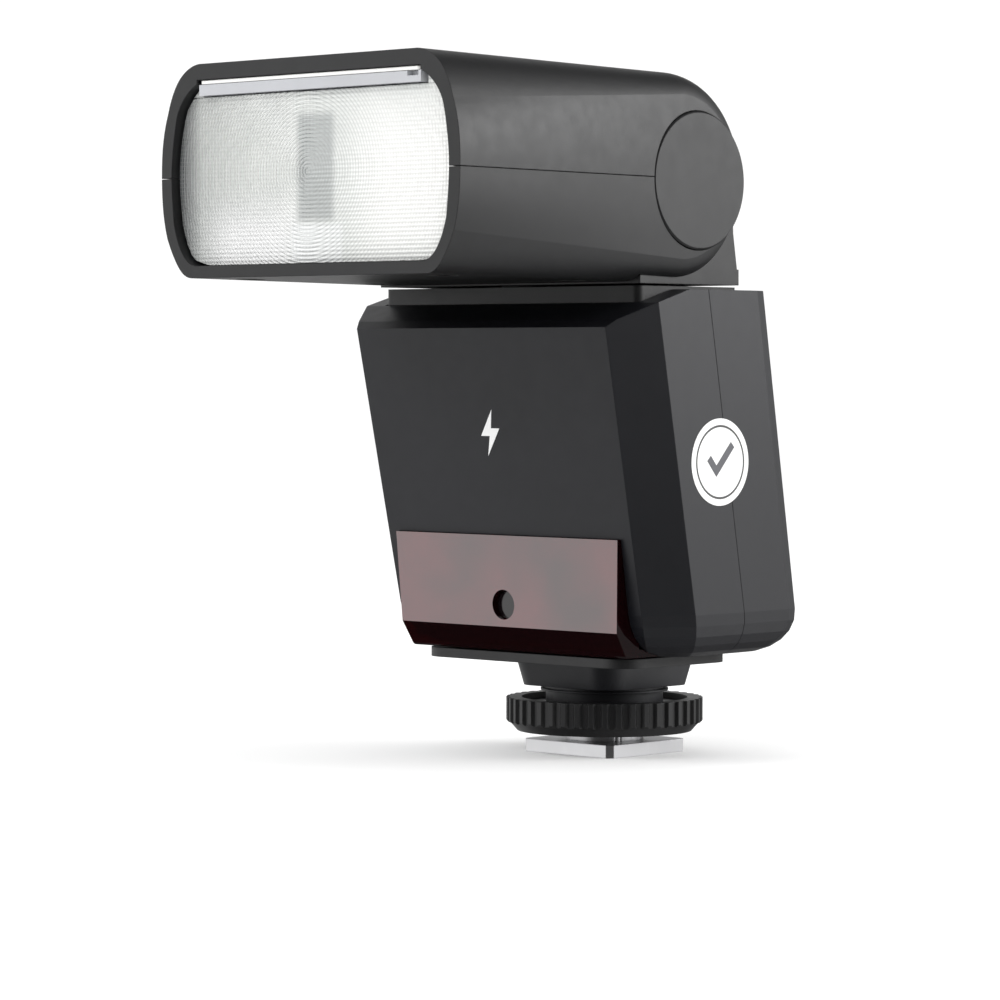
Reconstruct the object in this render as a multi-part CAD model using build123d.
from build123d import *
import math
import os

# Shoe-mount electronic flash: zooming head on a tilt and swivel neck, battery
# body that leans forward, and a screw-locked shoe foot.
# Millimetres.  Z up.  The light leaves towards -Y.  +X is the left hand of a
# person standing behind the flash.  Origin: middle of the foot underside.

os.makedirs("parts", exist_ok=True)

# ---------------------------------------------------------- shared dimensions
BASE_BOTTOM, BODY_BOTTOM = 14.9, 16.4         # base plate lies between these
BODY_TOP = 71.8
BODY_HALF_W = 30.5
WALL = 1.5
FLOOR_ROUND = 6.8                             # rounding between sides and floor

# leaning lines of the body: y at a height z, that z, y gained per mm downwards
FRONT_LINE = (-29.0, 66.5, 0.2096)
REAR_LINE = (4.6, 71.6, 0.1635)
SIDE_LINE = (-22.2, 69.8, 0.1846)             # front edge of the flat sides
SEAM_LINE = (-10.8, 72.2, 0.176)              # joint between the body shells
SEAM_GAP = 0.08

TILT = TILT_Y, TILT_Z = -12.0, 88.0           # tilt axis, along X
SWIVEL_Y = -12.0                              # swivel axis, along Z
DRUM_R = 12.0
CAP_R = 10.3                                  # pivot caps on the tilt axis

BASE_SCREWS = [(x, y) for y in (-9.6, 3.0) for x in (-18.0, 18.0)]
HEAD_SCREWS = [(x, y) for y in (-30.0, -57.0) for x in (-20.0, 20.0)]


# -------------------------------------------------------------------- helpers
def box(x0, x1, y0, y1, z0, z1):
    """Box between limits; the two x limits may come in either order."""
    size = (abs(x1 - x0), y1 - y0, z1 - z0)
    return Pos((x0 + x1) / 2, (y0 + y1) / 2, (z0 + z1) / 2) * Box(*size)


def slab(half_x, y0, y1, z0, z1):
    """Box centred on x = 0."""
    return box(-half_x, half_x, y0, y1, z0, z1)


def rod_x(radius, x0, x1, y, z):
    return Pos((x0 + x1) / 2, y, z) * Rot(0, 90, 0) * Cylinder(radius, abs(x1 - x0))


def rod_y(radius, x, y0, y1, z):
    return Pos(x, (y0 + y1) / 2, z) * Rot(90, 0, 0) * Cylinder(radius, y1 - y0)


def rod_z(radius, x, y, z0, z1):
    return Pos(x, y, (z0 + z1) / 2) * Cylinder(radius, z1 - z0)


def polygon(points):
    return make_face(Polyline(*points, close=True))


def prism_x(points, x0, x1):
    """Outline of (y, z) points extruded along X."""
    plane = Plane(origin=(0, 0, 0), x_dir=(0, 1, 0), z_dir=(1, 0, 0))
    return Pos(x0, 0, 0) * extrude(plane * polygon(points), x1 - x0, dir=(1, 0, 0))


def prism_y(points, y0, y1):
    """Outline of (x, z) points extruded along Y."""
    plane = Plane(origin=(0, 0, 0), x_dir=(1, 0, 0), z_dir=(0, -1, 0))
    return Pos(0, y0, 0) * extrude(plane * polygon(points), y1 - y0, dir=(0, 1, 0))


def rounded_slab(width, depth, radius, y, z0, z1):
    return Pos(0, y, z0) * extrude(RectangleRounded(width, depth, radius), z1 - z0)


def cone(bottom_r, top_r, z, height):
    align = (Align.CENTER, Align.CENTER, Align.MIN)
    return Pos(0, 0, z) * Cone(bottom_r, top_r, height, align=align)


def polar(radius, degrees, x, y):
    angle = math.radians(degrees)
    return x + radius * math.cos(angle), y + radius * math.sin(angle)


def lean_y(line, z):
    """Y of a leaning line at height z."""
    y_ref, z_ref, slope = line
    return y_ref + (z_ref - z) * slope


def circles(shape):
    return shape.edges().filter_by(GeomType.CIRCLE)


def largest(shape):
    return sorted(shape.solids(), key=lambda solid: solid.volume)[-1]


def join(shapes):
    result, *rest = shapes
    for shape in rest:
        result = result + shape
    return result


def crosshead_screws(places, head_r, shank_r, levels, slot_half, slot_z):
    """Screws with the head down.  levels: head bottom, head top, shank tip.
    slot_half: half length and half width of the cross slots."""
    bottom, joint, tip = levels
    long, short = slot_half
    screws = []
    for x, y in places:
        screw = rod_z(head_r, x, y, bottom, joint) + rod_z(shank_r, x, y, joint, tip)
        for half_x, half_y in ((long, short), (short, long)):
            screw = screw - box(x - half_x, x + half_x, y - half_y, y + half_y, *slot_z)
        screws.append(screw)
    return join(screws)


# Frame of the leaning back face: u to the right of a person behind the flash
# (-X), v up the face, w outwards.
LEAN = math.atan(REAR_LINE[2])
OUT_DIR = (0, math.cos(LEAN), math.sin(LEAN))
OUTWARD = Axis((0, 0, 0), OUT_DIR)
REAR = Plane(origin=(0, lean_y(REAR_LINE, 44.0), 44.0), x_dir=(-1, 0, 0), z_dir=OUT_DIR).location


def rear_box(u0, u1, v0, v1, w0, w1, radius=0):
    """Box in the rear frame; a radius rounds its edges along w."""
    u, v = (u0 + u1) / 2, (v0 + v1) / 2
    if radius:
        outline = Pos(u, v, w0) * RectangleRounded(u1 - u0, v1 - v0, radius)
        return REAR * extrude(outline, w1 - w0)
    return REAR * (Pos(u, v, (w0 + w1) / 2) * Box(u1 - u0, v1 - v0, w1 - w0))


def rear_pad(u, v, half_u, half_v, w0, w1, radius=0):
    return rear_box(u - half_u, u + half_u, v - half_v, v + half_v, w0, w1, radius)


def rear_rod(radius, u, v, w0, w1):
    return REAR * Pos(u, v, (w0 + w1) / 2) * Cylinder(radius, w1 - w0)


def rear_rod_u(radius, v, w, u0, u1):
    return REAR * Pos((u0 + u1) / 2, v, w) * Rot(0, 90, 0) * Cylinder(radius, abs(u1 - u0))


# ------------------------------------------------------------ body shell stock
# side view of the body top: y, z, share of the offset added to y
TOP_PROFILE = [
    (-31.2, 62.6, 1), (-28.9, 66.1, 0.6), (-27.5, 67.2, 0.4), (-22.4, 69.7, 0),
    (-15.0, BODY_TOP, 0), (3.2, BODY_TOP, -1), (4.4, BODY_TOP - 0.5, -1),
    (5.4, BODY_TOP - 2.6, -1), (30, BODY_TOP - 12, 0),
]
PANEL_OUT, PANEL_IN = 4.2, 2.6                # w of the raised panel's two faces
PANEL_V = 3.0


def body_section(z, offset, inset=0.0):
    """Level section, offset inwards and then scaled in by inset."""
    front_half_w = 25.3 + 0.0169 * (z - 25)
    front, rear, side = (lean_y(line, z) for line in (FRONT_LINE, REAR_LINE, SIDE_LINE))
    half = [
        (front_half_w - 0.45 * offset, front + offset),
        (BODY_HALF_W - offset, side + 0.45 * offset),
        (30.2 - offset, rear - 3.8),
        (29.6 - 0.9 * offset, rear - 1.7 - 0.4 * offset),
        (28.3 - 0.55 * offset, rear - 0.5 - 0.85 * offset),
        (26.5 - 0.2 * offset, rear - offset),
    ]
    middle = (front + rear) / 2
    scale_x = 1 - inset / BODY_HALF_W
    scale_y = 1 - inset / ((rear - front) / 2)
    half = [(x * scale_x, middle + (y - middle) * scale_y) for x, y in half]
    return Pos(0, 0, z) * polygon(half + [(-x, y) for x, y in reversed(half)])


def body_solid(offset):
    """Body without its panel, every face moved inwards by about offset."""
    floor = BODY_BOTTOM + offset
    radius = FLOOR_ROUND - offset
    sections = []
    for step in range(7):
        angle = math.radians(90 * step / 6)
        z = floor + radius * (1 - math.cos(angle))
        sections.append(body_section(z, offset, radius * (1 - math.sin(angle))))
    sections.append(body_section(80, offset))
    top = [(y + share * offset, z - offset * 1.03) for y, z, share in TOP_PROFILE]
    profile = [(-45, 0), (-45, 40)] + top + [(30, 0)]
    return loft(sections, ruled=True) & prism_x(profile, -40, 40)


def panel_block(*levels):
    """Ruled block on the back; each level is half u, half v, w, corner radius."""
    return REAR * loft([
        Pos(0, PANEL_V, w) * RectangleRounded(2 * half_u, 2 * half_v, radius)
        for half_u, half_v, w, radius in levels
    ], ruled=True)


def body_shell():
    panel = panel_block((26.2, 24.4, -0.4, 5.0), (24.0, 22.6, PANEL_OUT, 4.0))
    hollow = panel_block((24.4, 22.6, -WALL - 1.2, 4.0), (22.6, 21.1, PANEL_IN, 3.0))
    shell = ((OUTER - CAVITY) + panel) - hollow
    return shell - CAVITY


OUTER = body_solid(0)
CAVITY = body_solid(WALL)
SHELL = body_shell()

# ---------------------------------------------- battery door on the -X side
DOOR_V0, DOOR_V1, DOOR_W0, DOOR_W1 = -21.8, 7.5, -23.2, -4.8
HINGE_U, HINGE_V, HINGE_R = 29.4, 7.6, 1.0
HINGE_W = (-21.0, -7.0)


def battery_door():
    region = rear_box(26.4, 40, DOOR_V0, DOOR_V1, DOOR_W0, DOOR_W1)
    door = largest(SHELL & region)
    door = door + rear_rod(HINGE_R, HINGE_U, HINGE_V, *HINGE_W)    # barrel at the top edge
    door = door + rear_box(28.75, 30.15, HINGE_V - 1.2, HINGE_V + 0.1, *HINGE_W)
    return door - rear_box(29.45, 31.5, -20.6, -11.6, -16.15, -11.85)    # latch recess


def door_opening():
    top = HINGE_V + HINGE_R + 0.15
    return rear_box(26.2, 40, DOOR_V0 - 0.45, top, DOOR_W0 - 0.2, DOOR_W1 + 0.2)


def battery_latch():
    latch = rear_box(29.5, 30.75, -20.5, -14.0, -16.05, -11.95)
    latch = chamfer(latch.faces().sort_by(Axis.X)[0].edges(), 0.3)
    for v in (-18.6, -17.4, -16.2):    # grip grooves
        latch = latch - rear_box(30.45, 32, v - 0.2, v + 0.2, -17, -11)
    return latch


# ------------------------------------------ red window low on the front face
WINDOW_TOP, WINDOW_BOTTOM = 34.5, 16.65
SENSOR_X, SENSOR_Z = -0.6, 23.9


def window_trapezoid(clearance):
    """Front view of the window, as a prism."""
    top = WINDOW_TOP + clearance
    bottom = WINDOW_BOTTOM - 5 * clearance
    wide, narrow = 23.2 + clearance, 22.3 + clearance
    return prism_y([(-wide, top), (wide, top), (narrow, bottom), (-narrow, bottom)], -40, 0)


def af_window():
    outside = [    # y, z
        (-23.0, WINDOW_TOP), (-22.3, 20.5), (-20.1, 16.95), (-19.7, WINDOW_BOTTOM),
        (-12.6, WINDOW_BOTTOM), (-12.6, 17.6),
        (lean_y(FRONT_LINE, WINDOW_BOTTOM) + WALL, 17.9),
        (lean_y(FRONT_LINE, WINDOW_TOP) + WALL, WINDOW_TOP),
    ]
    inside = [    # y, z
        (-21.5, WINDOW_TOP - 1.4), (-20.75, 20.6), (-19.6, 18.2), (-10, 18.2),
        (-10, WINDOW_TOP - 1.4),
    ]
    window = prism_x(outside, -30, 30) & window_trapezoid(0)
    window = window - prism_x(inside, -21.7, 21.7)
    return window - rod_y(2.3, SENSOR_X, -30, -10, SENSOR_Z)


def window_opening():
    top, bottom = WINDOW_TOP + 0.06, WINDOW_BOTTOM - 0.3
    profile = [(-40, bottom), (-40, top), (-15, top), (-15, 18.0), (-12.5, 18.0), (-12.5, bottom)]
    ends = box(-60, 60, -40, -10, 0, 60)
    return prism_x(profile, -30, 30) & window_trapezoid(0.06) & ends


def element_on_board(x, z, radius, front_y, board_y, half_w, half_h):
    """Round element facing forward, with a small board behind it."""
    board = box(x - half_w, x + half_w, board_y, board_y + 0.7, z - half_h, z + half_h)
    return rod_y(radius, x, front_y, board_y, z) + board


def slave_sensor():
    return element_on_board(SENSOR_X, SENSOR_Z, radius=2.2, front_y=-21.4, board_y=-19.9,
                            half_w=2.6, half_h=2.3)


def af_lamp():
    return element_on_board(8.5, 30.2, radius=1.9, front_y=-20.9, board_y=-18.9,
                            half_w=2.4, half_h=2.2)


# ---------------------------------------------- controls on the back panel
BUTTONS_U = {
    "button_mode": -15.0, "button_zoom": -5.0, "button_sync": 5.0, "button_light": 15.0,
}
BUTTON_V, BUTTON_HALF_U, BUTTON_HALF_V = 1.9, 3.3, 1.8
FLANGE_W = FLANGE_IN, FLANGE_OUT = 2.0, 2.54  # flange that keeps a button in its hole
CAP_OUT = 5.1                                 # outer face of the buttons
HOLE_W = (0, 8)                               # depth range of the panel holes
DIAL = (0.0, -9.6)                            # u, v
DIAL_R, DIAL_HUB_R, DIAL_SEAT = 8.4, 5.2, 4.35
SET_R = 3.4                                   # button in the middle of the dial
TEST, TEST_R = (-17.4, -5.2), 2.9
LAMP, LAMP_R = (-17.4, -13.0), 1.5
SWITCH_U, SWITCH_V = 17.4, -11.6              # lower stop of the slider
SWITCH_HALF_U, SWITCH_HALF_V = 2.0, 2.3
SWITCH_TRAVEL = 4.0
LCD_HALF_U, LCD_V0, LCD_V1 = 16.0, 7.4, 23.6


def push_button(u):
    cap = rear_pad(u, BUTTON_V, BUTTON_HALF_U, BUTTON_HALF_V, FLANGE_IN, CAP_OUT, 1.3)
    cap = fillet(cap.edges().sort_by(OUTWARD)[-8:], 0.4)
    return cap + rear_pad(u, BUTTON_V, BUTTON_HALF_U + 0.6, BUTTON_HALF_V + 0.5, *FLANGE_W, 0.8)


def round_button(radius, place, outer_w):
    cap = rear_rod(radius, *place, FLANGE_IN, outer_w)
    return fillet(circles(cap).sort_by(OUTWARD)[-1:], 0.4)


def button_set():
    return round_button(SET_R, DIAL, 5.85)


def button_test():
    return round_button(TEST_R, TEST, CAP_OUT) + rear_rod(TEST_R + 0.6, *TEST, *FLANGE_W)


def select_dial():
    dial = rear_rod(DIAL_R, *DIAL, DIAL_SEAT, 5.5) + rear_rod(DIAL_HUB_R, *DIAL, 1.75, DIAL_SEAT)
    dial = chamfer(circles(dial).sort_by(OUTWARD)[-1:], 0.5)
    for i in range(24):    # grip notches
        dial = dial - rear_rod(0.45, *polar(DIAL_R, 15 * i, *DIAL), 4.0, 6.0)
    return dial - rear_rod(SET_R + 0.1, *DIAL, 1.0, 8.0)


def ready_lamp():
    return rear_rod(LAMP_R, *LAMP, 1.42, 4.35) + rear_rod(2.0, *LAMP, 1.42, 2.5)


def power_switch():
    place = (SWITCH_U, SWITCH_V)
    switch = rear_pad(*place, SWITCH_HALF_U, SWITCH_HALF_V, FLANGE_IN, 5.2, 0.8)
    switch = switch + rear_pad(*place, SWITCH_HALF_U + 0.8, SWITCH_HALF_V + 0.9, *FLANGE_W, 0.5)
    for step in (-1.2, -0.4, 0.4, 1.2):    # grip grooves
        switch = switch - rear_pad(SWITCH_U, SWITCH_V + step, 3, 0.14, 4.95, 6)
    return switch


def lcd_window():
    gap = 0.08
    return rear_box(-LCD_HALF_U + gap, LCD_HALF_U - gap, LCD_V0 + gap, LCD_V1 - gap,
                    PANEL_OUT - 0.93, PANEL_OUT - gap, 1.15)


def lcd_module():
    return rear_box(-14.8, 14.8, 8.3, 23.2, -1.8, 1.6) + rear_box(-13.8, 13.8, 9.2, 21.8, 1.6, 2.5)


def control_pcb():
    board_out = 1.05
    board = rear_box(-21.3, 21.3, -16.6, 6.6, 0.25, board_out)
    return board + rear_rod(5.2, *DIAL, board_out, 1.7)    # dial encoder


def keypad_membrane():
    return rear_box(-20.6, 20.6, -15.6, 6.0, 1.07, 1.4) - rear_rod(5.9, *DIAL, 0, 3)


# --------------------------------------------------------------- body shells
# swivel base, a plate let into the body top
PLATE_HALF_W, PLATE_FRONT, PLATE_REAR = 26.5, -22.2, 0.6
PLATE_BOTTOM, PLATE_TOP = 69.75, 72.3


def seam_side(side):
    """Everything in front of (-1) or behind (1) the body seam."""
    low, high = (lean_y(SEAM_LINE, z) + side * SEAM_GAP / 2 for z in (0, 100))
    return prism_x([(80 * side, 0), (low, 0), (high, 100), (80 * side, 100)], -50, 50)


def with_openings(shell):
    """Cuts common to both shells: neck plate, door, swivel shaft, base screws."""
    gap = 0.08
    shell = shell - slab(PLATE_HALF_W + gap, PLATE_FRONT - gap, PLATE_REAR + gap, PLATE_BOTTOM, 90)
    shell = shell - door_opening() - rod_z(10.1, 0, SWIVEL_Y, 60, 90)
    for x, y in BASE_SCREWS:
        shell = shell - rod_z(1.1, x, y, 10, 17.7)
    return shell


def front_shell():
    return with_openings((SHELL & seam_side(-1)) - window_opening())


def rear_shell():
    shell = with_openings(SHELL & seam_side(1))
    for u in BUTTONS_U.values():
        shell = shell - rear_pad(u, BUTTON_V, BUTTON_HALF_U + 0.1, BUTTON_HALF_V + 0.1, *HOLE_W, 1.4)
    shell = shell - rear_rod(DIAL_HUB_R + 0.1, *DIAL, -4, 8)
    shell = shell - rear_rod(TEST_R + 0.1, *TEST, *HOLE_W)
    shell = shell - rear_rod(LAMP_R + 0.05, *LAMP, *HOLE_W)
    reach_u, reach_v = SWITCH_HALF_U + 0.1, SWITCH_HALF_V + 0.15
    shell = shell - rear_box(SWITCH_U - reach_u, SWITCH_U + reach_u, SWITCH_V - reach_v,
                             SWITCH_V + SWITCH_TRAVEL + reach_v, *HOLE_W, 0.9)
    # recess for the display window, then the opening inside it
    shell = shell - rear_box(-LCD_HALF_U, LCD_HALF_U, LCD_V0, LCD_V1, PANEL_OUT - 0.95, 8, 1.2)
    sight_u = LCD_HALF_U - 1.8
    return shell - rear_box(-sight_u, sight_u, LCD_V0 + 1.5, LCD_V1 - 1.5, *HOLE_W, 0.6)


def inspection_sticker():
    """Small round sticker across the body seam on the +X side."""
    return rod_x(6.55, 30.15, 30.52, -8.1, 46.0) - OUTER


# ------------------------------------------------- batteries and electronics
CELLS = [(-14.7, -13.9), (-0.3, -13.9)]       # v, w of the AA cells, which lie along X
CELL_R = 7.1


def battery_cells():
    cells = []
    for (v, w), side in zip(CELLS, (-1, 1)):
        cell = fillet(circles(rear_rod_u(CELL_R, v, w, -24.9, 24.9)), 0.6)
        cell = cell + rear_rod_u(2.7, v, w, side * 24.8, side * 25.9)     # positive nub
        cell = cell + rear_rod_u(5.6, v, w, -side * 25.1, -side * 24.8)   # negative end
        cells.append(largest(cell))
    return Compound(children=cells)


def battery_box():
    tray = rear_box(-27.3, 24.0, -22.7, 7.8, -22.0, -5.8)
    tray = tray - rear_box(-26.3, 30, -21.9, 7.0, -21.3, -6.5)
    return tray & body_solid(WALL + 0.12)


def battery_contacts():
    discs = join([rear_rod_u(4.2, v, w, -26.28, -25.95) for v, w in CELLS])
    return discs + rear_box(-26.28, -26.0, -14.6, -0.4, -14.8, -13.0)


def door_contacts():
    plate_out = 26.9
    plate = rear_box(26.15, plate_out, -18.6, 3.6, -17.2, -10.6)
    blocks = join([rear_box(plate_out, 29.1, v, v + 2.4, -16.6, -11.2) for v in (-18.4, 1.0)])
    blocks = blocks - (OUTER - body_solid(WALL + 0.02))
    return plate + blocks


def main_capacitor():
    y, z = -15.6, 57.2
    can = fillet(circles(rod_x(8.8, -21.5, 20.0, y, z)), 0.8)
    return can + rod_x(0.5, 19.9, 22.4, y, z + 3) + rod_x(0.5, 19.9, 22.4, y, z - 3)


def main_pcb():
    board_in = -5.0
    board = rear_box(-26.0, 26.0, 8.6, 21.6, board_in, -3.6)
    board = board + rear_box(-24.5, -14.5, 9.5, 18.0, -9.6, board_in)
    return board + rear_box(14.0, 20.0, 10.0, 16.0, -7.4, board_in)


# -------------------------------------------------------- base plate and foot
BASE_HEAD_TOP = BASE_BOTTOM + 0.9
FOOT_WIDTH, FOOT_LENGTH, FOOT_THICK = 18.6, 18.0, 2.0    # standard shoe plate
SHOE_NECK_R = 6.1                             # clears the 12.5 slot between rails
FOOT_SCREWS = [(-4.6, -2.4), (4.6, -2.4)]
# pins: x, y, radius
MAIN_PIN = (0.0, 0.0, 1.3)
LOCK_PIN = (0.0, -5.0, 1.0)
SMALL_PINS = [(-3.9, 3.7, 0.75), (-1.35, 4.9, 0.75), (1.35, 4.9, 0.75), (3.9, 3.7, 0.75)]
RING_R, RING_BOTTOM, RING_TOP = 15.4, 3.4, 8.6           # knurled locking wheel
RING_RIBS, RIB_DEPTH, RIB_BOTTOM = 44, 0.5, 4.7


def base_plate():
    plate = rounded_slab(43.2, 25.4, 4.5, -6.7, BASE_BOTTOM, BODY_BOTTOM - 0.05)
    for x, y in BASE_SCREWS:
        plate = plate - rod_z(1.15, x, y, 10, 20) - rod_z(2.1, x, y, 10, BASE_HEAD_TOP + 0.05)
    return plate - rod_z(5.5, 0, 0, 10, 20)


def body_screws():
    return crosshead_screws(BASE_SCREWS, head_r=2.0, shank_r=1.05,
                            levels=(BASE_BOTTOM + 0.08, BASE_HEAD_TOP, 17.6),
                            slot_half=(1.2, 0.2), slot_z=(BASE_BOTTOM, BASE_BOTTOM + 0.45))


def without_pin_holes(shape, z0, z1):
    for x, y, radius in [MAIN_PIN, LOCK_PIN] + SMALL_PINS:
        shape = shape - rod_z(radius + 0.06, x, y, z0, z1)
    return shape


def foot_neck():
    neck = loft([Pos(0, 0, 10.5) * RectangleRounded(20.2, 20.2, 4.0),
                 Pos(0, 0, 14.85) * RectangleRounded(22.2, 22.2, 4.4)], ruled=True)
    # radius, bottom, top of the round steps
    for radius, z0, z1 in ((9.2, 7.55, 10.6), (12.4, 7.1, 7.6), (7.4, 3.38, 7.2), (10.0, 9.7, 10.0)):
        neck = neck + rod_z(radius, 0, 0, z0, z1)
    neck = neck - slab(7.6, -7.6, 7.6, 11.4, 20)    # pocket for the shoe board
    neck = without_pin_holes(neck, 0, 12)
    for x, y in FOOT_SCREWS:
        neck = neck - rod_z(0.95, x, y, 0, 8.6)
    return neck


def foot_plate():
    plate = slab(FOOT_WIDTH / 2, -FOOT_LENGTH / 2, FOOT_LENGTH / 2, 0, FOOT_THICK)
    plate = chamfer(plate.edges().filter_by(Axis.Z), 0.9)
    plate = plate + rod_z(SHOE_NECK_R, 0, 0, FOOT_THICK, 3.36)
    plate = without_pin_holes(plate, -1, 5)
    for x, y in FOOT_SCREWS:
        plate = plate - rod_z(1.0, x, y, -1, 5) - rod_z(1.7, x, y, -1, 1.0)
    return plate


def foot_screws():
    return crosshead_screws(FOOT_SCREWS, head_r=1.6, shank_r=0.93, levels=(0.12, 0.98, 8.5),
                            slot_half=(1.0, 0.18), slot_z=(0, 0.5))


def contact_pins():
    return Compound(children=[largest(rod_z(radius, x, y, 0, 10.9))
                              for x, y, radius in [MAIN_PIN] + SMALL_PINS])


def lock_pin():
    x, y, radius = LOCK_PIN
    return rod_z(radius, x, y, 0, 10.6)


def shoe_pcb():
    return slab(7.2, -7.2, 7.2, 12.6, 13.6)


def lock_ring():
    root_r = RING_R - RIB_DEPTH
    # radius and fraction of the rib pitch
    rib = ((RING_R, 0.0), (RING_R, 0.34), (root_r, 0.5), (root_r, 0.84))
    points = [polar(radius, 360 * (i + part) / RING_RIBS, 0, 0)
              for i in range(RING_RIBS) for radius, part in rib]
    ribs = Pos(0, 0, RIB_BOTTOM) * extrude(polygon(points), RING_TOP - RIB_BOTTOM)
    ribs = ribs & cone(14.4, 19.6, 4.0, 5.2)
    ring = ribs + cone(13.7, 14.9, RING_BOTTOM, 1.35)
    # neck bore, upper and lower recess
    return ring - rod_z(7.55, 0, 0, 0, 20) - rod_z(13.0, 0, 0, 6.8, 20) - rod_z(12.95, 0, 0, 0, 4.35)


def pressure_plate():
    return rod_z(12.85, 0, 0, 3.45, 4.25) - rod_z(7.5, 0, 0, 0, 10)


# ------------------------------------------------------ swivel and tilt neck
SHAFT_R = 8.0
YOKE_HALF_W, ARM_INNER = 27.15, 24.6
YOKE_FRONT, YOKE_REAR = -22.5, 0.0
YOKE_BOTTOM, YOKE_FLOOR_TOP = 72.6, 75.0


def swivel_base():
    plate = slab(PLATE_HALF_W, PLATE_FRONT, PLATE_REAR, PLATE_BOTTOM + 0.03, PLATE_TOP)
    plate = plate & rounded_slab(2 * PLATE_HALF_W, PLATE_REAR - PLATE_FRONT, 1.2,
                                 (PLATE_FRONT + PLATE_REAR) / 2, 60, 90)
    return plate - rod_z(SHAFT_R + 0.1, 0, SWIVEL_Y, 60, 90)


def yoke_arm(x0, x1):
    profile = [    # y, z
        (YOKE_FRONT, YOKE_BOTTOM), (YOKE_REAR, YOKE_BOTTOM), (-1.3, 80.4), (-1.6, TILT_Z),
        (-22.4, TILT_Z), (YOKE_FRONT, 79.0),
    ]
    return prism_x(profile, x0, x1) + rod_x(DRUM_R - 0.15, x0, x1, *TILT)


def yoke():
    body = yoke_arm(ARM_INNER, YOKE_HALF_W) + yoke_arm(-YOKE_HALF_W, -ARM_INNER)
    body = body + slab(YOKE_HALF_W, YOKE_FRONT, YOKE_REAR, YOKE_BOTTOM, YOKE_FLOOR_TOP)
    rear_wall = [(YOKE_REAR, YOKE_BOTTOM), (-1.3, 80.4), (-3.1, 80.4), (-2.2, YOKE_BOTTOM)]
    body = body + prism_x(rear_wall, -YOKE_HALF_W, YOKE_HALF_W)
    body = body + slab(YOKE_HALF_W, YOKE_FRONT, YOKE_FRONT + 1.6, YOKE_BOTTOM, 77.0)
    body = body + rod_z(SHAFT_R, 0, SWIVEL_Y, 67.2, YOKE_FLOOR_TOP)
    body = body - rod_z(6.2, 0, SWIVEL_Y, 60, 90)
    return body - rod_x(1.6, -40, 40, *TILT)


def neck_drum():
    tube = rod_x(DRUM_R, -24.5, 24.5, *TILT) - rod_x(DRUM_R - 1.5, -30, 30, *TILT)
    wedge = [TILT, polar(40, -37, *TILT), (30, TILT_Z + 40), polar(40, 112, *TILT)]
    # room for the rear wall of the yoke
    wall = [(5, YOKE_BOTTOM), (-1.25, 80.45), (-3.15, 80.45), (-8, YOKE_BOTTOM)]
    return (tube & prism_x(wedge, -30, 30)) - prism_x(wall, -30, 30)


def swivel_retainer():
    ring = rod_z(9.9, 0, SWIVEL_Y, 67.6, 69.55) - rod_z(SHAFT_R + 0.03, 0, SWIVEL_Y, 60, 90)
    for angle in range(45, 360, 90):
        ring = ring - rod_z(1.0, *polar(10.0, angle, 0, SWIVEL_Y), 60, 90)
    return ring


def pivot_cap(side):
    cap = rod_x(CAP_R, side * 27.2, side * 29.75, *TILT)
    cap = chamfer(circles(cap).sort_by(Axis.X)[-1 if side > 0 else 0], 0.25)
    return cap - rod_x(1.45, side * 20, side * 28.4, *TILT)


def pivot_cap_left():
    return pivot_cap(1)


def pivot_cap_right():
    return pivot_cap(-1)


def pivot_screws():
    return join([rod_x(1.4, side * 22.0, side * 28.3, *TILT)
                 + rod_x(2.8, side * 20.4, side * 22.6, *TILT) for side in (1, -1)])


def tilt_detents():
    plates = []
    for side in (1, -1):
        plate = rod_x(8.0, side * 22.75, side * 24.5, *TILT) - rod_x(1.6, -40, 40, *TILT)
        for angle in range(0, 360, 45):
            plate = plate - rod_x(1.0, -40, 40, *polar(6.2, angle, *TILT))
        plates.append(plate)
    return join(plates)


# ---------------------------------------------------------------- head shells
HEAD_FRONT_Y = -64.8
SEAM_Z = 88.2                                 # joint between the head halves
HEAD_ROUND_Y, HEAD_ROUND_Z = -15.3, 88.45     # axis of the rounded back
HEAD_WALL = 2.0
CAVITY_FRONT = -61.3
SLOT_FLOOR_Z = 100.2                          # under the wide panel
# Outlines as x, z from their own centre on the +X side: upper, side, lower curve.
FRONT_CURVES = [
    [(22.0, 16.8), (24.8, 16.3), (27.0, 14.8), (28.6, 12.5), (29.7, 9.6)],
    [(29.7, 9.6), (30.9, 4.6), (31.1, 0.0), (30.8, -4.9), (29.9, -8.9)],
    [(29.9, -8.9), (29.1, -10.6), (27.9, -12.6), (26.6, -14.1), (24.0, -14.9)],
]
REAR_CURVES = [
    [(24.0, 15.7), (26.2, 15.4), (27.9, 14.4), (28.8, 13.2), (29.2, 12.2)],
    [(29.2, 12.2), (29.5, 6.0), (29.6, 0.0), (29.5, -6.0), (29.2, -12.2)],
    [(29.2, -12.2), (28.8, -13.2), (27.9, -14.4), (26.2, -15.4), (24.0, -15.7)],
]
LENS_CURVES = [
    [(21.5, 14.35), (24.4, 13.2), (26.5, 11.3), (27.8, 8.8)],
    [(27.8, 8.8), (28.5, 5.2), (28.9, 0.6), (28.7, -3.9), (28.4, -6.9)],
    [(28.4, -6.9), (27.2, -10.2), (25.6, -12.3), (22.5, -13.1)],
]


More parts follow.
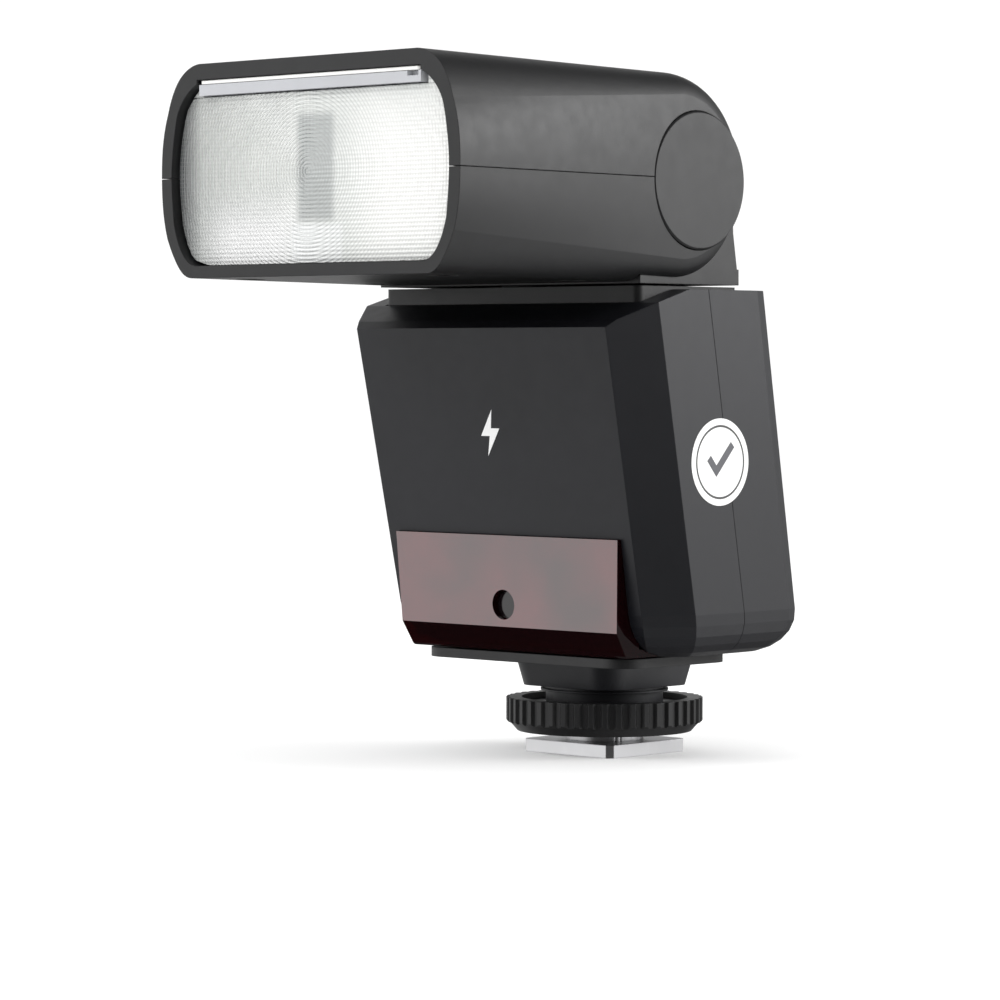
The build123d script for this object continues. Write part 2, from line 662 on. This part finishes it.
def symmetric_face(y, z, curves, scale):
    """Upright face at y, centred on height z, from curves and their mirror images."""
    right = [[(px * scale[0], pz * scale[1]) for px, pz in curve] for curve in curves]
    left = [[(-px, pz) for px, pz in reversed(curve)] for curve in reversed(right)]
    segments = [Line(left[-1][-1], right[0][0])] + [Spline(*curve) for curve in right]
    segments += [Line(right[-1][-1], left[0][0])] + [Spline(*curve) for curve in left]
    wire = Wire([edge for segment in segments for edge in segment.edges()])
    return Plane(origin=(0, y, z), x_dir=(1, 0, 0), z_dir=(0, -1, 0)) * make_face(wire)


def head_solid(offset):
    """Head, its outlines scaled in by about offset."""
    scale = (1 - offset / 30.3, 1 - offset / 15.9)
    barrel = loft([symmetric_face(HEAD_FRONT_Y, SEAM_Z, FRONT_CURVES, scale),
                   symmetric_face(HEAD_ROUND_Y, HEAD_ROUND_Z, REAR_CURVES, scale)], ruled=True)
    upper_half = [REAR_CURVES[0], REAR_CURVES[1][:3]]
    profile = symmetric_face(HEAD_ROUND_Y, HEAD_ROUND_Z, upper_half, scale)
    axis = Axis((0, HEAD_ROUND_Y, HEAD_ROUND_Z), (-1, 0, 0))
    return barrel + revolve(profile, axis, 180)


def head_interior(clearance):
    return head_solid(HEAD_WALL + clearance)


def lens_prism(y0, y1, clearance):
    scale = (1 - clearance / 28.9, 1 - clearance / 13.8)
    return extrude(symmetric_face(y0, SEAM_Z, LENS_CURVES, scale), y1 - y0, dir=(0, 1, 0))


def head_shell():
    shell = head_solid(0) - (head_interior(0) & slab(60, CAVITY_FRONT, 60, 0, 200))
    shell = shell - lens_prism(-70, -61.0, 0)
    shell = shell - slab(27.4, -23.1, 20, 0, 101.3)    # room for the yoke and drum
    return shell - rod_x(CAP_R + 0.12, -40, 40, *TILT)


HEAD_SHELL = head_shell()


def head_top_shell():
    top = HEAD_SHELL & slab(60, -80, 30, SEAM_Z + 0.05, 200)
    return top - slab(23.3, -70, -26.2, 98.0, 102.62)    # slot for panel and card


def head_bottom_shell():
    bottom = HEAD_SHELL & slab(60, -80, 30, 0, SEAM_Z - 0.05)
    for x, y in HEAD_SCREWS:
        bottom = bottom - rod_z(1.2, x, y, 60, 77) - rod_z(2.3, x, y, 60, 73.95)
    return bottom


def head_screws():
    return crosshead_screws(HEAD_SCREWS, head_r=2.2, shank_r=1.0, levels=(73.35, 73.9, 77.0),
                            slot_half=(1.3, 0.2), slot_z=(73, 73.65))


def fresnel_lens():
    return lens_prism(-63.4, -61.6, 0.1) - slab(23.4, -80, 0, SLOT_FLOOR_Z, 120)


def wide_panel():
    panel = slab(23.1, -64.5, -26.6, 100.28, 101.9)
    return panel - box(20.4, 22.6, -70, -63.4, 101.2, 102.6)


def bounce_card():
    card = slab(22.9, -64.55, -26.6, 101.98, 102.5)
    return chamfer(card.edges().filter_by(Axis.Z), 0.4)


def panel_cassette():
    front, rear, half_w, rail_in, rail_top = -61.2, -25.2, 24.6, 23.3, 101.8
    tray = slab(half_w, front, rear, 99.1, SLOT_FLOOR_Z) - slab(14, -52, -32, 90, 110)
    for side in (-1, 1):
        tray = tray + box(side * rail_in, side * half_w, front, rear, SLOT_FLOOR_Z, rail_top)
    tray = tray + slab(rail_in, rear - 1.2, rear, SLOT_FLOOR_Z, rail_top)
    return tray & head_interior(0.1)


# ------------------------------------------------------------------ zoom unit
CHASSIS_FRONT, CHASSIS_REAR, FRAME_T = -61.2, -25.5, 0.9
GUIDE_X, GUIDE_Z = 24.6, 80.2
LEAD_X, LEAD_Z = 24.4, 92.0                   # motor and lead screw axis
MOTOR_REAR = -52.0
REFLECTOR_FRONT, REFLECTOR_REAR = -57.0, -43.2
REFLECTOR_HALF_W, REFLECTOR_T = 20.4, 0.7
TUBE_Y, TUBE_R, TUBE_HALF_L = -47.6, 2.1, 21.6


def zoom_chassis():
    front = slab(26.8, CHASSIS_FRONT, CHASSIS_FRONT + FRAME_T, 77.0, 98.6)
    chassis = front - slab(21.2, -70, -50, 78.4, 98.0)
    chassis = chassis + slab(26.2, CHASSIS_REAR - FRAME_T, CHASSIS_REAR, 76.6, 98.6)
    chassis = chassis - slab(12, -30, -20, 80, 92)
    chassis = chassis + slab(23.5, CHASSIS_FRONT, CHASSIS_REAR, 76.3, 77.1)
    chassis = chassis & head_interior(0.15)
    for side in (-1, 1):
        chassis = chassis - rod_y(1.1, side * GUIDE_X, -61.0, -25.7, GUIDE_Z)
    chassis = chassis - rod_y(1.5, LEAD_X, -30, -20, LEAD_Z) - rod_y(2.0, LEAD_X, -70, -50, LEAD_Z)
    for x, y in HEAD_SCREWS:
        chassis = chassis - rod_z(1.05, x, y, 70, 80)
    return chassis


def guide_rods():
    return join([rod_y(1.08, side * GUIDE_X, -60.95, -25.8, GUIDE_Z) for side in (-1, 1)])


def zoom_motor():
    can = rod_y(2.9, LEAD_X, -60.28, MOTOR_REAR, LEAD_Z)
    return can + rod_y(1.3, LEAD_X, MOTOR_REAR, -51.4, LEAD_Z)


def lead_screw():
    screw = rod_y(1.0, LEAD_X, -51.3, -25.6, LEAD_Z)
    for i in range(12):    # collars standing in for the thread
        screw = screw + rod_y(1.3, LEAD_X, -50.4 + 2.0 * i, -49.6 + 2.0 * i, LEAD_Z)
    return screw


def reflector_curve(apex_y, half_h):
    depth = apex_y - REFLECTOR_FRONT
    return [(apex_y - depth * abs(i / 8) ** 2.2, SEAM_Z + half_h * i / 8) for i in range(-8, 9)]


def reflector():
    inner_h = 8.6
    mouth_y = REFLECTOR_FRONT - 5
    hollow = [(mouth_y, SEAM_Z + inner_h)]
    hollow += reversed(reflector_curve(REFLECTOR_REAR - REFLECTOR_T, inner_h))
    hollow += [(mouth_y, SEAM_Z - inner_h)]
    inner_w = REFLECTOR_HALF_W - REFLECTOR_T
    bowl = prism_x(reflector_curve(REFLECTOR_REAR, 9.2), -REFLECTOR_HALF_W, REFLECTOR_HALF_W)
    bowl = bowl - prism_x(hollow, -inner_w, inner_w)
    return bowl - rod_x(TUBE_R + 0.25, -40, 40, TUBE_Y, SEAM_Z)


def flash_tube():
    return rod_x(TUBE_R, -TUBE_HALF_L, TUBE_HALF_L, TUBE_Y, SEAM_Z)


def tube_sleeves():
    return join([rod_x(3.2, side * 20.45, side * 22.4, TUBE_Y, SEAM_Z)
                 - rod_x(TUBE_R + 0.02, side * 10, side * (TUBE_HALF_L + 0.02), TUBE_Y, SEAM_Z)
                 for side in (1, -1)])


def zoom_carriage():
    front = REFLECTOR_REAR + 0.03
    interior = head_interior(0.5)
    carriage = slab(26.6, front, REFLECTOR_REAR + 1.7, 78.0, 97.0) - slab(14, -50, -30, 83, 93)
    carriage = carriage & interior
    # bosses: radius, x, z
    for radius, x, z in ((2.4, -24.3, 80.4), (2.4, 24.3, 80.4), (2.5, 24.2, LEAD_Z)):
        carriage = carriage + rod_y(radius, x, front, REFLECTOR_REAR + 3.6, z)
    carriage = carriage & interior
    for radius, x, z in ((1.16, -GUIDE_X, GUIDE_Z), (1.16, GUIDE_X, GUIDE_Z), (1.4, LEAD_X, LEAD_Z)):
        carriage = carriage - rod_y(radius, x, -60, -20, z)
    return carriage


# --------------------------------------------------------------------- export
# Each function's name is the name of its part.
SINGLE_PARTS = [
    battery_door, battery_latch, af_window, select_dial, button_set, button_test, ready_lamp,
    power_switch, lcd_window, lcd_module, control_pcb, keypad_membrane, front_shell, rear_shell,
    battery_box, door_contacts, main_capacitor, main_pcb, slave_sensor, af_lamp, base_plate,
    foot_neck, foot_plate, lock_pin, shoe_pcb, lock_ring, pressure_plate, inspection_sticker,
    swivel_base, yoke, neck_drum, swivel_retainer, pivot_cap_left, pivot_cap_right,
    head_top_shell, head_bottom_shell, fresnel_lens, wide_panel, bounce_card, panel_cassette,
    zoom_chassis, zoom_motor, lead_screw, reflector, flash_tube, zoom_carriage,
]
GROUPED_PARTS = [
    battery_cells, battery_contacts, body_screws, foot_screws, contact_pins, pivot_screws,
    tilt_detents, guide_rods, head_screws, tube_sleeves,
]


def save(name, shape):
    shape.label = name
    export_step(shape, f"parts/{name}.step")


for name, u in BUTTONS_U.items():
    save(name, largest(push_button(u)))
for build in SINGLE_PARTS:
    save(build.__name__, largest(build()))
for build in GROUPED_PARTS:
    save(build.__name__, Compound(children=list(build().solids())))
